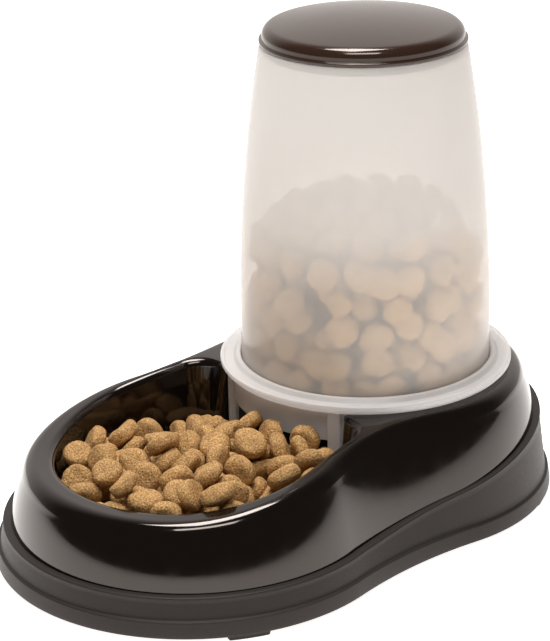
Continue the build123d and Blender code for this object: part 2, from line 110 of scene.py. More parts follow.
WELL_RADIUS = DRUM_RADIUS + 1.5
FLANGE_RADIUS = collar_high[0]
SHELF_RADIUS = 57.0
SHELF_Z = hopper_low[2] - SEAT_GAP
LIP_DEPTH = 2.8                    # collar's lip over the hopper's lugs
GATE_HALF_ANGLE = 32.0
GATE_EDGE_Z = 50.5
LUG_SPAN = 12.0                    # degrees round the hopper
LUG_HEIGHT = 2.5
HOPPER_WALL = 1.6
HOPPER_BARREL_Z = 90.0
HOPPER_FOOT_RADIUS = (hopper_high[1] - hopper_low[1]) / 2
HOPPER_TOP_RADIUS = 49.6

# camera: where it aims and how far off it stands, then its focal length in frame units
CAMERA_TARGET = (0.0, -1.7, 102.85)
CAMERA_DISTANCE = 1142.6
FOCAL_LENGTH = 2382.1
FRAME_HEIGHT = 641.0

# settling of the food: frames played, and how much larger than the pieces their hulls are
PILE_FRAMES = 70
HULL_WIDER = 1.07
HULL_THICKER = 1.09
HULL_GRID = (12, 7)


class FeederLooks(bpy.types.PropertyGroup):
    """Colours of the feeder's finishes, as sRGB."""

    shell: bpy.props.StringProperty(
        name="Shell", description="Glossy base shell, sRGB hex", default="0C0806")
    skirt: bpy.props.StringProperty(
        name="Skirt", description="Soft skirt, sRGB hex", default="1E1B1A")
    pads: bpy.props.StringProperty(
        name="Pads", description="Foot pads, sRGB hex", default="1C1A19")
    collar: bpy.props.StringProperty(
        name="Collar", description="Feed collar, sRGB hex", default="F2F0F0")
    hopper: bpy.props.StringProperty(
        name="Hopper", description="Frosted hopper, sRGB hex", default="ECE9E6")
    lid: bpy.props.StringProperty(
        name="Lid", description="Smoky lid, sRGB hex", default="2A1C15")
    crust: bpy.props.StringProperty(
        name="Kibble crust", description="Toasted crust of the food, sRGB hex", default="A67A45")
    crumb: bpy.props.StringProperty(
        name="Kibble crumb", description="Pale grains in the food, sRGB hex", default="D8B47C")


class FeederSizes(bpy.types.PropertyGroup):
    """Sizes of the finish that the frame leaves open."""

    rim_round: bpy.props.FloatProperty(
        name="Outer rim round", description="Radius of the rim's outer edge",
        default=7.0 * MM, unit="LENGTH")
    mouth_round: bpy.props.FloatProperty(
        name="Bowl mouth round", description="Radius of the bowl's mouth",
        default=4.0 * MM, unit="LENGTH")
    bead: bpy.props.FloatProperty(
        name="Skirt bead", description="Radius of the bead along the skirt's upper edge",
        default=0.75 * MM, unit="LENGTH")
    kibble_radius: bpy.props.FloatProperty(
        name="Kibble radius", description="Half the width of a piece of food",
        default=7.9 * MM, unit="LENGTH")
    kibble_height: bpy.props.FloatProperty(
        name="Kibble half height", description="Half the thickness of a piece of food",
        default=4.5 * MM, unit="LENGTH")
    kibble_count: bpy.props.IntProperty(
        name="Kibble in the bowl", description="Pieces of food that lie in the bowl",
        default=146, min=20, max=260)
    seed: bpy.props.IntProperty(
        name="Seed", description="Seed of every random choice", default=7)


def smooth_rise(y, low, high, rise):
    """Height that is level, rises as 3t^2 - 2t^3, and is level again."""
    t = np.clip((y - skirt_low[1] - rise[0]) / rise[1], 0.0, 1.0)
    return low + (high - low) * t * t * (3.0 - 2.0 * t)


def rim_z(y):
    """Height of the shell's top at y."""
    return smooth_rise(y, RIM_FRONT_Z, PLATFORM_Z, RIM_RISE)


def skirt_z(y):
    """Height of the skirt's upper edge at y."""
    return smooth_rise(y, SKIRT_FRONT_Z, SKIRT_REAR_Z, SKIRT_RISE)


def floor_z(y):
    """Bowl's flat floor, then the feed ramp that climbs towards the back."""
    return BOWL_FLOOR_Z + np.maximum(y - BOWL_REAR_Y, 0.0) * RAMP


def arc(centre, radius, start, end, count):
    """Points on an arc, and its unit radii; angles in degrees."""
    a = np.radians(np.linspace(start, end, count))
    out = np.stack([np.cos(a), np.sin(a)], 1)
    return np.array(centre) + radius * out, out


def cavity_outline():
    """Plan of the bowl, throat and well as one loop, anticlockwise from the front, with
    unit normals that point into the plastic. Arcs of the bowl, its rear corners, the
    rounded throat posts and the well; the left half mirrors the right."""
    corner = np.array([CORNER_X, BOWL_REAR_Y - CORNER_RADIUS])
    reach = math.hypot(corner[0], corner[1] - FRONT_Y)
    turn = math.degrees(
        math.atan2(corner[1] - FRONT_Y, corner[0])
        - math.acos((BOWL_RADIUS - CORNER_RADIUS) / reach))
    meet = math.degrees(math.acos((THROAT_HALF + THROAT_ROUND - CORNER_X) / CORNER_RADIUS))
    well = math.degrees(math.asin(THROAT_HALF / WELL_RADIUS))
    front, front_n = arc((0.0, FRONT_Y), BOWL_RADIUS, -90.0, turn, 72)
    bend, bend_n = arc(corner, CORNER_RADIUS, turn, meet, 26)
    post_centre = (THROAT_HALF + THROAT_ROUND, BOWL_REAR_Y + THROAT_ROUND)
    post, post_n = arc(post_centre, THROAT_ROUND, 270.0, 180.0, 14)
    back, back_n = arc((0.0, AXIS_Y), WELL_RADIUS, well - 90.0, 90.0, 64)
    side = front[-1] + (bend[0] - front[-1]) * np.linspace(0.1, 0.9, 9)[:, None]
    side_n = np.repeat(front_n[-1:], 9, 0)
    points = np.vstack([front, side, bend, post, back])
    normals = np.vstack([front_n, side_n, bend_n, -post_n, back_n])
    mirror = np.array([-1.0, 1.0])
    points = np.vstack([points, points[-2:0:-1] * mirror])
    normals = np.vstack([normals, normals[-2:0:-1] * mirror])
    return points, normals


CAVITY, CAVITY_NORMAL = cavity_outline()


def lobe_reach(sizes, y):
    """Half width of the lobed outline at y: front circle, waist arc tangent to both
    circles, rear circle. Sizes are (front, rear, waist) radii; all are arrays."""
    front, rear, waist = sizes
    spacing = AXIS_Y - FRONT_Y
    along = (front**2 - rear**2 + spacing**2) / (2 * spacing)
    slope = (front - rear) / spacing
    half = front - waist - along * slope
    rest = waist**2 + along**2 - front**2
    hollow = rest / (half + np.sqrt(half**2 - slope**2 * rest))
    cx, cy = waist + hollow, FRONT_Y + along + slope * hollow
    y_front = FRONT_Y + front * (cy - FRONT_Y) / (front + hollow)
    y_rear = AXIS_Y + rear * (cy - AXIS_Y) / (rear + hollow)
    on_front = np.sqrt(np.maximum(front**2 - (y - FRONT_Y)**2, 0.0))
    on_rear = np.sqrt(np.maximum(rear**2 - (y - AXIS_Y)**2, 0.0))
    on_waist = cx - np.sqrt(np.maximum(hollow**2 - (y - cy)**2, 0.0))
    return np.where(y < y_front, on_front, np.where(y > y_rear, on_rear, on_waist))


def outline(sizes):
    """Points of a lobed outline that stand opposite the cavity's points: along the radius
    at the ends, straight across between the lobes. Sizes are arrays of one per point."""
    x, y = CAVITY[:, 0], CAVITY[:, 1]
    front, rear, _ = sizes
    side = np.sign(x + 1e-9)
    a_front = np.arctan2(y - FRONT_Y, x)
    a_rear = np.arctan2(y - AXIS_Y, x)
    middle = np.stack([side * lobe_reach(sizes, y), y], 1)
    at_front = np.stack([front * np.cos(a_front), FRONT_Y + front * np.sin(a_front)], 1)
    at_rear = np.stack([rear * np.cos(a_rear), AXIS_Y + rear * np.sin(a_rear)], 1)
    points = np.where((y < FRONT_Y)[:, None], at_front, middle)
    return np.where((y > AXIS_Y)[:, None], at_rear, points)


def outward(points):
    """Unit normals of a closed loop of plan points, pointing out."""
    along = np.roll(points, -1, 0) - np.roll(points, 1, 0)
    normal = np.stack([along[:, 1], -along[:, 0]], 1)
    return normal / np.maximum(np.linalg.norm(normal, axis=1), 1e-9)[:, None]


def band_outline(z, inward=0.0):
    """Face of the skirt's band at height z (one per point), moved in by inward."""
    foot = np.array([FRONT_RADIUS, REAR_RADIUS, WAIST_HALF]) - LIP_STEP
    z = np.broadcast_to(z, len(CAVITY))
    return outline([foot[i] - BAND_LEANS[i] * (z - LIP_TOP_Z) - inward for i in range(3)])


def wall_outline(z, inward=0.0):
    """Shell's outer wall at height z: a straight lean, bowed out by a parabola between
    the skirt and the rim."""
    z = np.broadcast_to(z, len(CAVITY))
    above = np.maximum(z - skirt_z(CAVITY[:, 1]), 0.0)
    t = np.clip(above / (rim_z(CAVITY[:, 1]) - 6.0 - skirt_z(CAVITY[:, 1])), 0.0, 1.0)
    out = WALL_SWELL * 4.0 * t * (1.0 - t) - inward
    sizes = [WALL_AT_RIM[i] - WALL_LEANS[i] * (z - WALL_AT_Z[i]) + out for i in range(3)]
    return outline(sizes)


def raised(points, z):
    """Plan points given a height, one for all or one each."""
    return np.column_stack([points, np.broadcast_to(z, len(points))])


def grid_faces(rows, columns, wrap_rows=True, wrap_columns=True):
    """Quads of a grid of rows by columns."""
    r = np.arange(rows if wrap_rows else rows - 1)[:, None]
    c = np.arange(columns if wrap_columns else columns - 1)[None, :]
    r2, c2 = (r + 1) % rows, (c + 1) % columns
    quads = np.stack([r * columns + c, r * columns + c2, r2 * columns + c2, r2 * columns + c], -1)
    return quads.reshape(-1, 4)


def new_piece(name, parts, sharp=38.0):
    """Object from closed grids, each (points, faces) in millimetres. Doubles are merged,
    flat-out faces dropped and normals turned out; edges sharper than the angle stay crisp."""
    points, faces, base = [], [], 0
    for part_points, part_faces in parts:
        points.append(part_points)
        faces.append(part_faces + base)
        base += len(part_points)
    points = np.vstack(points) * MM
    mesh = bpy.data.meshes.new(name)
    mesh.from_pydata(points.tolist(), [], np.vstack(faces).tolist())
    edit = bmesh.new()
    edit.from_mesh(mesh)
    bmesh.ops.remove_doubles(edit, verts=edit.verts, dist=2e-6)
    bmesh.ops.dissolve_degenerate(edit, edges=edit.edges, dist=1e-6)
    bmesh.ops.recalc_face_normals(edit, faces=edit.faces)
    edit.to_mesh(mesh)
    edit.free()
    mesh.polygons.foreach_set("use_smooth", np.ones(len(mesh.polygons), bool))
    mesh.set_sharp_from_angle(angle=math.radians(sharp))
    piece = bpy.data.objects.new(name, mesh)
    bpy.context.scene.collection.objects.link(piece)
    return piece


def loop_grid(rings):
    """Closed tube from rings of points: each ring is one turn round the object, and the
    rings close on each other round the wall's section."""
    stack = np.stack(rings)
    return stack.reshape(-1, 3), grid_faces(stack.shape[0], stack.shape[1])


def turned(section, count=192):
    """A closed (radius, height) section carried round the hopper's axis."""
    section = np.array(section)
    a = np.radians(np.linspace(0.0, 360.0, count, endpoint=False))
    r, z = section[:, 0][:, None], section[:, 1][:, None]
    points = np.stack([r * np.cos(a), AXIS_Y + r * np.sin(a), z + 0 * a], -1)
    return points.reshape(-1, 3), grid_faces(len(section), count)


def rounded(corners, count=5):
    """Section through corner points (r, z, round): each corner becomes an arc of that
    radius, tangent to both of its sides."""
    corners = np.array(corners, float)
    out = []
    for i in range(len(corners)):
        before, here, after = corners[i - 1], corners[i], corners[(i + 1) % len(corners)]
        if here[2] <= 0:
            out.append(here[:2])
            continue
        u = (before[:2] - here[:2]) / np.linalg.norm(before[:2] - here[:2])
        v = (after[:2] - here[:2]) / np.linalg.norm(after[:2] - here[:2])
        half = math.acos(np.clip(u @ v, -1, 1)) / 2
        cut = here[2] / math.tan(half)
        middle = (u + v) / np.linalg.norm(u + v) * here[2] / math.sin(half)
        start, end = u * cut - middle, v * cut - middle
        turn = math.pi - 2 * half
        t = np.linspace(0, 1, count)[:, None]
        ring = (np.sin((1 - t) * turn) * start + np.sin(t * turn) * end) / math.sin(turn)
        out.extend(here[:2] + middle + ring)
    return np.array(out)


def linear(hex_colour):
    """sRGB hex to linear RGBA."""
    value = [int(hex_colour[i:i + 2], 16) / 255 for i in (0, 2, 4)]
    return tuple(v / 12.92 if v <= 0.04045 else ((v + 0.055) / 1.055)**2.4 for v in value) + (1.0,)


def add_node(material, kind, links=(), **settings):
    """Adds a node. Settings are its properties or, given as in_NAME, its inputs' values.
    Links are (output socket, input name or number) pairs into it."""
    node = material.node_tree.nodes.new(kind)
    for key, value in settings.items():
        if key.startswith("in_"):
            node.inputs[key[3:].replace("_", " ")].default_value = value
        else:
            setattr(node, key, value)
    for socket, name in links:
        material.node_tree.links.new(socket, node.inputs[name])
    return node


def new_material(name):
    """Empty node material."""
    material = bpy.data.materials.new(name)
    material.use_nodes = True
    material.node_tree.nodes.clear()
    return material


def finish_surface(material, shader):
    """Links the last shader to the material's output."""
    output = material.node_tree.nodes.new("ShaderNodeOutputMaterial")
    material.node_tree.links.new(shader, output.inputs["Surface"])
    return material


def object_point(material):
    """Place on the piece, which patterns are drawn by."""
    return add_node(material, "ShaderNodeTexCoord").outputs["Object"]


def bump_from(material, height, distance_mm, strength):
    """Normal raised by a height pattern."""
    return add_node(material, "ShaderNodeBump", [(height, "Height")],
                    in_Distance=distance_mm * MM, in_Strength=strength).outputs["Normal"]


def noise(material, point, size_mm, detail=2.0, rough=0.5):
    """Noise whose lumps are size_mm across."""
    return add_node(material, "ShaderNodeTexNoise", [(point, "Vector")],
                    in_Scale=1.0 / (size_mm * MM), in_Detail=detail, in_Roughness=rough)


def remap(material, socket, low, high, to_low, to_high):
    """Carries low..high to to_low..to_high, and holds the ends."""
    return add_node(material, "ShaderNodeMapRange", [(socket, "Value")],
                    in_From_Min=low, in_From_Max=high, in_To_Min=to_low,
                    in_To_Max=to_high).outputs["Result"]


def gloss_abs(name, colour, roughness, wave=0.5):
    """High-gloss moulded ABS: deep colour under a sharp reflection, with the slight
    waviness of a moulded face and a trace of handling haze in the roughness."""
    material = new_material(name)
    point = object_point(material)
    sink = noise(material, point, 26.0, 1.0).outputs["Fac"]
    haze = noise(material, point, 9.0, 3.0).outputs["Fac"]
    normal = bump_from(material, sink, 0.05, wave)
    rough = remap(material, haze, 0.35, 0.7, roughness * 0.8, roughness * 1.3)
    shader = add_node(material, "ShaderNodeBsdfPrincipled",
                      [(normal, "Normal"), (rough, "Roughness")],
                      in_Base_Color=linear(colour), in_IOR=1.54,
                      in_Specular_Tint=WARM_TINT)
    return finish_surface(material, shader.outputs["BSDF"])


def soft_tpe(name, colour):
    """Spark-textured moulded elastomer: matte, fine grained, a little lighter where the
    grain catches the light."""
    material = new_material(name)
    point = object_point(material)
    # the real grain is about 0.2 mm; drawn at 0.7 mm so that it shows
    grain = noise(material, point, 0.7, 2.0, 0.7).outputs["Fac"]
    cloud = noise(material, point, 35.0, 2.0).outputs["Fac"]
    tone = remap(material, cloud, 0.3, 0.7, 0.92, 1.08)
    base = add_node(material, "ShaderNodeMix", data_type="RGBA", blend_type="MULTIPLY")
    base.inputs["Factor"].default_value = 1.0
    base.inputs["A"].default_value = linear(colour)
    material.node_tree.links.new(tone, base.inputs["B"])
    normal = bump_from(material, grain, 0.08, 0.35)
    rough = remap(material, grain, 0.3, 0.7, 0.48, 0.62)
    shader = add_node(material, "ShaderNodeBsdfPrincipled",
                      [(normal, "Normal"), (rough, "Roughness"),
                       (base.outputs["Result"], "Base Color")], in_IOR=1.5,
                      in_Specular_IOR_Level=0.35, in_Specular_Tint=WARM_TINT)
    return finish_surface(material, shader.outputs["BSDF"])


def clear_pp(name, clear):
    """Polished inner skin of a frosted wall: nearly clear, with a trace of milk."""
    material = new_material(name)
    point = object_point(material)
    flow = noise(material, point, 22.0, 2.0).outputs["Fac"]
    share = remap(material, flow, 0.3, 0.7, clear - 0.03, clear + 0.03)
    skin = add_node(material, "ShaderNodeBsdfPrincipled",
                    in_Base_Color=(0.9, 0.88, 0.87, 1.0), in_Roughness=0.25, in_IOR=1.5)
    through = add_node(material, "ShaderNodeBsdfTransparent", in_Color=WHITE)
    shader = add_node(material, "ShaderNodeMixShader",
                      [(share, 0), (skin.outputs["BSDF"], 1), (through.outputs["BSDF"], 2)])
    return finish_surface(material, shader.outputs["Shader"])


def frosted_pp(name, colour, clear, rim_clear, roughness, dusty_z=(0.0, 1.0), dusty=1.0):
    """Frosted polypropylene: the wall lets a share of the light straight through and
    scatters the rest as milk, half of it onwards. The share falls from clear, seen square
    on, to rim_clear at the edges, where the path through the wall is long. Between the
    two heights of dusty_z it falls to the part dusty, where meal clings to the wall and
    the food stands away from it. A faint gloss lies over it."""
    material = new_material(name)
    point = object_point(material)
    # spark texture is about 0.3 mm; drawn at 1.1 mm so that it shows
    frost = noise(material, point, 1.1, 3.0, 0.6).outputs["Fac"]
    flow = noise(material, point, 30.0, 2.0).outputs["Fac"]
    normal = bump_from(material, frost, 0.03, 0.15)
    facing = add_node(material, "ShaderNodeLayerWeight", in_Blend=0.5).outputs["Facing"]
    share = remap(material, facing, 0.1, 0.85, clear, rim_clear)
    height = add_node(material, "ShaderNodeSeparateXYZ", [(point, "Vector")]).outputs["Z"]
    film = remap(material, height, dusty_z[0] * MM, dusty_z[1] * MM, 1.0, dusty)
    share = add_node(material, "ShaderNodeMath", [(share, 0), (film, 1)],
                     operation="MULTIPLY").outputs["Value"]
    streak = remap(material, flow, 0.3, 0.7, 0.94, 1.06)
    share = add_node(material, "ShaderNodeMath", [(share, 0), (streak, 1)],
                     operation="MULTIPLY").outputs["Value"]
    skin = add_node(material, "ShaderNodeBsdfPrincipled", [(normal, "Normal")],
                    in_Base_Color=linear(colour), in_Roughness=roughness, in_IOR=1.5)
    glow = add_node(material, "ShaderNodeBsdfTranslucent", [(normal, "Normal")],
                    in_Color=linear(colour))
    milk = add_node(material, "ShaderNodeMixShader",
                    [(skin.outputs["BSDF"], 1), (glow.outputs["BSDF"], 2)], in_Fac=0.45)
    through = add_node(material, "ShaderNodeBsdfTransparent", in_Color=WHITE)
    shader = add_node(material, "ShaderNodeMixShader",
                      [(share, 0), (milk.outputs["Shader"], 1), (through.outputs["BSDF"], 2)])
    return finish_surface(material, shader.outputs["Shader"])


def baked_kibble(name, crust, crumb):
    """Extruded and baked dog food: toasted open crumb, paler grains, small dark pores."""
    material = new_material(name)
    point = object_point(material)
    # grain about 0.5 mm, pores about 1.2 mm apart, tone patches as wide as a piece
    grain = noise(material, point, 0.75, 3.0, 0.75).outputs["Fac"]
    patch = noise(material, point, 7.0, 2.0).outputs["Fac"]
    pores = add_node(material, "ShaderNodeTexVoronoi", [(point, "Vector")],
                     in_Scale=1.0 / (1.5 * MM)).outputs["Distance"]
    ramp = add_node(material, "ShaderNodeValToRGB", [(grain, "Fac")])
    stops = ramp.color_ramp.elements
    dark = tuple(0.45 * v for v in linear(crust)[:3]) + (1.0,)
    stops[0].position, stops[0].color = 0.30, dark
    stops[1].position, stops[1].color = 0.66, linear(crumb)
    middle = stops.new(0.47)
    middle.color = linear(crust)
    tone = remap(material, patch, 0.3, 0.7, 0.82, 1.12)
    base = add_node(material, "ShaderNodeMix", data_type="RGBA", blend_type="MULTIPLY")
    base.inputs["Factor"].default_value = 1.0
    material.node_tree.links.new(ramp.outputs["Color"], base.inputs["A"])
    material.node_tree.links.new(tone, base.inputs["B"])
    pit = remap(material, pores, 0.0, 0.5, 0.0, 1.0)
    rough_skin = add_node(material, "ShaderNodeMath", [(grain, 0), (pit, 1)], operation="ADD")
    normal = bump_from(material, rough_skin.outputs["Value"], 0.45, 0.9)
    shader = add_node(material, "ShaderNodeBsdfPrincipled",
                      [(normal, "Normal"), (base.outputs["Result"], "Base Color")],
                      in_Roughness=0.72, in_IOR=1.45)
    return finish_surface(material, shader.outputs["BSDF"])


def looks():
    """Colours set in the panel."""
    return bpy.context.scene.feeder_looks


def sizes():
    """Sizes set in the panel."""
    return bpy.context.scene.feeder_sizes


def place(piece, material, body, slot, *nodes):
    """Gives a piece its finish and the body it rides on, and hides the nodes it replaces. The slot is
    not used.
    """
    piece.data.materials.append(material)
    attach(piece, body)
    if nodes:
        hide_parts(*nodes)


def shell_rings():
    """Section of the base shell at every point of the plan, as rings: up the outer wall,
    round the rim, across the top, down the bowl and along its floor to the spine, then
    back under the floor, up the cup's outside, under the rim and down inside the wall."""
    rim_round, mouth_round = sizes().rim_round / MM, sizes().mouth_round / MM
    y = CAVITY[:, 1]
    foot_top = skirt_z(band_outline(SKIRT_REAR_Z)[:, 1])
    rings = [raised(band_outline(SHELL_FOOT_Z, SKIRT_THICKNESS + 0.02), SHELL_FOOT_Z)]
    rings.append(raised(band_outline(foot_top, SKIRT_THICKNESS + 0.02), foot_top - 0.05))
    lower = foot_top + 0.35
    rings.append(raised(wall_outline(lower, 0.5), lower - 0.2))

    top = rim_z(wall_outline(RIM_FRONT_Z)[:, 1])
    shoulder = wall_outline(top - rim_round)
    slope = np.linalg.norm(wall_outline(top - rim_round - 4.0) - shoulder, axis=1) / 4.0
    tilt = np.arctan(slope)
    start = top - rim_round * (1.0 - np.sin(tilt))
    for t in np.linspace(0.0, 1.0, 18)**1.5:
        z = lower + (start - lower) * t
        rings.append(raised(wall_outline(z), z))
    facing = outward(shoulder)
    centre = shoulder - facing * (rim_round / np.cos(tilt))[:, None]
    crest = rim_z(centre[:, 1])
    for t in np.linspace(0.0, 1.0, 13)[1:]:
        a = tilt + (math.pi / 2 - tilt) * t
        point = centre + facing * (rim_round * np.cos(a))[:, None]
        rings.append(raised(point, crest - rim_round * (1.0 - np.sin(a))))

    covered = np.clip((y - BOWL_REAR_Y + 1.0) / 5.0, 0.0, 1.0)
    mouth = mouth_round + (1.0 - mouth_round) * covered
    lean = BOWL_LEAN * (1.0 - np.clip((y - BOWL_REAR_Y) / 4.0, 0.0, 1.0))

    def inside(z, out):
        grow = lean * (z - RIM_FRONT_Z) + out
        return CAVITY + CAVITY_NORMAL * grow[:, None]

    edge = inside(rim_z(y), mouth)
    for t in np.linspace(0.0, 1.0, 7)[1:-1]:
        point = centre + (edge - centre) * t
        rings.append(raised(point, rim_z(point[:, 1])))
    for a in np.linspace(math.pi / 2, 0.0, 10):
        point = inside(rim_z(y), mouth * (1.0 - math.cos(a)))
        z = rim_z(point[:, 1]) - mouth * (1.0 - math.sin(a))
        rings.append(raised(point, z))
    corner = 8.0 + (0.8 - 8.0) * covered
    bottom = floor_z(y)
    high = rim_z(y) - mouth
    for t in np.linspace(0.0, 1.0, 9)[1:]:
        z = high + (bottom + corner - high) * t
        rings.append(raised(inside(z, np.zeros(len(y))), z))
    for a in np.linspace(0.0, math.pi / 2, 7)[1:]:
        point = inside(bottom + corner, -corner * (1.0 - math.cos(a)))
        rings.append(raised(point, floor_z(point[:, 1]) + corner * (1.0 - math.sin(a))))
    spine = np.stack([np.zeros(len(y)), np.clip(y, FRONT_Y, AXIS_Y)], 1)
    for t in np.linspace(0.0, 1.0, 5)[1:]:
        middle = point + (spine - point) * t
        rings.append(raised(middle, floor_z(middle[:, 1])))
    rings.append(raised(spine, floor_z(spine[:, 1]) - CUP_WALL))
    cup = inside(bottom, CUP_WALL - corner * 0.4)
    rings.append(raised(cup, floor_z(cup[:, 1]) - CUP_WALL))
    rings.append(raised(inside(bottom + corner, np.full(len(y), CUP_WALL)), bottom + corner * 0.6))
    under = top - TOP_WALL
    rings.append(raised(inside(under, np.full(len(y), CUP_WALL)), under))
    rings.append(raised(wall_outline(under, WALL), under))
    rings.append(raised(wall_outline(foot_top + 2.0, WALL), foot_top + 2.0))
    rings.append(raised(band_outline(foot_top, SKIRT_THICKNESS + WALL), foot_top - 1.0))
    rings.append(raised(band_outline(SHELL_FOOT_Z, SKIRT_THICKNESS + WALL), SHELL_FOOT_Z))
    return rings


def skirt_rings():
    """Section of the soft skirt as rings: out along its foot, up the rounded lip, in over
    the ledge, up the leaning band, over the bead and down its inner face."""
    bead = sizes().bead / MM
    lobes = np.array([FRONT_RADIUS, REAR_RADIUS, WAIST_HALF])
    count = len(CAVITY)

    def lip(inward):
        return outline([np.full(count, size - inward) for size in lobes])

    top = skirt_z(band_outline(SKIRT_REAR_Z)[:, 1])
    rings = [raised(band_outline(SKIRT_FOOT_Z, SKIRT_THICKNESS), SKIRT_FOOT_Z)]
    for inward, z in ((0.9, 0.0), (0.35, 0.12), (0.08, 0.5), (0.1, 1.2), (0.45, 4.0), (0.85, 6.6)):
        rings.append(raised(lip(inward), SKIRT_FOOT_Z + z))
    for a in np.linspace(0.0, 1.0, 5):
        turn = a * math.pi / 2
        inward = 0.95 + 0.8 * (1.0 - math.cos(turn))
        rings.append(raised(lip(inward), LIP_TOP_Z - 0.8 + 0.8 * math.sin(turn)))
    rings.append(raised(lip(LIP_STEP - 0.55), LIP_TOP_Z + 0.02))
    for t in (0.25, 0.6, 1.0):
        z = LIP_TOP_Z + 0.6 * t
        rings.append(raised(band_outline(z, -0.5 * (1 - t)**2), z))
    neck = top - 2.6 * bead
    for t in np.linspace(0.0, 1.0, 8)[1:]:
        z = LIP_TOP_Z + 0.6 + (neck - LIP_TOP_Z - 0.6) * t
        rings.append(raised(band_outline(z), z))
    for a in np.radians(np.linspace(-60.0, 90.0, 9)):
        z = top - bead + bead * np.sin(a)
        rings.append(raised(band_outline(z, -bead * 0.75 * np.cos(a)), z))
    rings.append(raised(band_outline(top, SKIRT_THICKNESS), top))
    return rings


def arc_block(radius_in, radius_out, middle, span, z_low, z_high, centre_y, edge):
    """Small block bent round a vertical axis, with rounded edges: a superellipse section
    whose size falls off towards both ends."""
    u = np.linspace(-1.0, 1.0, 25)
    v = np.linspace(0.0, 2 * math.pi, 24, endpoint=False)
    end = (1.0 - np.abs(u)**10)**(1 / 6)
    a = np.radians(middle + span / 2 * u)
    power = 0.28
    side = np.sign(np.cos(v)) * np.abs(np.cos(v))**power
    lift = np.sign(np.sin(v)) * np.abs(np.sin(v))**power
    half_r = (radius_out - radius_in) / 2
    half_z = (z_high - z_low) / 2
    shrink = 1.0 - (1.0 - end) * edge
    r = (radius_in + radius_out) / 2 + half_r * np.outer(side, shrink)
    z = (z_low + z_high) / 2 + half_z * np.outer(lift, shrink)
    x = r * np.cos(a)[None, :]
    y = centre_y + r * np.sin(a)[None, :]
    points = np.stack([x, y, z], -1)
    ends = points[:, [0, -1]].mean(0)
    count = len(u)
    flat = np.vstack([points.reshape(-1, 3), ends])
    faces = [grid_faces(len(v), count, True, False)]
    k = np.arange(len(v))
    for column, cap in ((0, len(flat) - 2), (count - 1, len(flat) - 1)):
        caps = np.full(len(k), cap)
        following = (k + 1) % len(v) * count + column
        faces.append(np.stack([k * count + column, following, caps, caps], 1))
    return flat, np.vstack(faces)


def hopper_profile(z, inward=0.0):
    """Outer radius of the hopper at height z: nearly straight, then a long arc inwards."""
    barrel = HOPPER_FOOT_RADIUS - 0.2
    taper = barrel - HOPPER_TOP_RADIUS
    tall = hopper_high[2] - HOPPER_BARREL_Z
    sweep = (taper**2 + tall**2) / (2 * taper)
    low = barrel + 0.2 * (HOPPER_BARREL_Z - z) / (HOPPER_BARREL_Z - hopper_low[2])
    over = np.maximum(z - HOPPER_BARREL_Z, 0.0)
    high = barrel - sweep + np.sqrt((sweep - inward)**2 - over**2)
    return np.where(z < HOPPER_BARREL_Z, low - inward, high)


def pillow_points(rng, columns, rows, radius, height):
    """One piece of food about its own middle, a rounded tablet: radius times cos^0.55 and
    half height times sin^0.85, with a shallow cosine dent in both faces, an oval and
    three-sided swing of the outline, and a few seeded sine lumps."""
    a = np.linspace(0.0, 2 * math.pi, columns, endpoint=False)
    b = np.linspace(-math.pi / 2, math.pi / 2, rows)
    flat = np.maximum(np.cos(b), 0.0)**0.55
    lift = np.sign(np.sin(b)) * np.abs(np.sin(b))**0.85
    oval = 1.0 + rng.uniform(-0.08, 0.08)
    shape = 1.0
    for k in (2, 3, 4, 6):
        shape = shape + rng.uniform(0.01, 0.045) / k**0.5 * np.cos(k * a + rng.uniform(0, 6.3))
    r = radius * np.outer(flat, shape)
    x, y = r * np.cos(a) * oval, r * np.sin(a) / oval
    dent = rng.uniform(0.05, 0.22, 2)
    depth = np.where(b > 0, dent[0], dent[1]) * np.maximum(np.cos(flat**2.0 * math.pi / 2), 0.0)
    z = height * np.outer(lift * (1.0 - depth), np.ones(columns))
    fade = np.outer(np.maximum(np.cos(b), 0.0)**0.4, np.ones(columns))
    for k in range(5):
        way = rng.normal(size=3)
        way /= np.linalg.norm(way)
        reach = x * way[0] + y * way[1] + z * way[2]
        wave = np.sin(reach * rng.uniform(0.5, 1.2) + rng.uniform(0, 6.3))
        z = z + wave * 0.22 * fade
        x, y = x * (1.0 + 0.012 * wave), y * (1.0 - 0.012 * wave)
    bend = rng.uniform(-0.07, 0.07) / radius
    return np.stack([x, y, z + bend * (x**2 - y**2)], -1).reshape(-1, 3)


def tumble(rng, flatness):
    """Random rotation; flatness 1 keeps the piece lying flat, 0 tips it any way."""
    axis = rng.normal(size=3)
    axis[2] *= 1.0 - flatness
    tip = rng.uniform(0.0, math.pi) * (1.0 - flatness) + rng.normal() * 0.3
    spin = Matrix.Rotation(rng.uniform(0.0, 2 * math.pi), 3, "Z")
    return np.array(Matrix.Rotation(tip, 3, Vector(axis).normalized()) @ spin)


